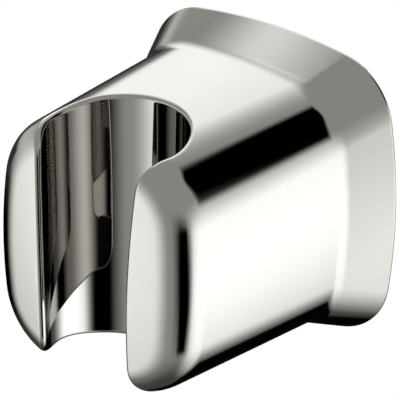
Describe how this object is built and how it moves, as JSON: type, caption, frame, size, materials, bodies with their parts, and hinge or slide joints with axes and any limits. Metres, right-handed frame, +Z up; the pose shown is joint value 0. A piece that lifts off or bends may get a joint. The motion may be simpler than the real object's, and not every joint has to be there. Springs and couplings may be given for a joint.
{
  "type": "hand shower holder",
  "caption": "Fixed wall holder for a hand shower: a square arm on a flared flange, with a front-open socket for the cone of the hose, fixed by a hidden bracket.",
  "frame": {"origin": "centre of the flange's back face, on the wall", "axes": "+Z up, +Y into the wall, the arm stands out towards -Y, +X to the right of someone facing the wall"},
  "size_m": [0.053, 0.0768, 0.053],
  "materials": {
    "chrome": "polished, mirror bright",
    "zinc_plated_steel": "zinc plated, satin",
    "stainless_steel": "stainless steel, as rolled",
    "grey_nylon": "moulded nylon, matt"
  },
  "bodies": {
    "root": {"holder_body": "chrome", "wall_bracket": "zinc_plated_steel", "set_screw": "stainless_steel", "wall_screw_upper": "stainless_steel", "wall_screw_lower": "stainless_steel", "washer_upper": "zinc_plated_steel", "washer_lower": "zinc_plated_steel", "wall_plug_upper": "grey_nylon", "wall_plug_lower": "grey_nylon"}
  },
  "joints": []
}
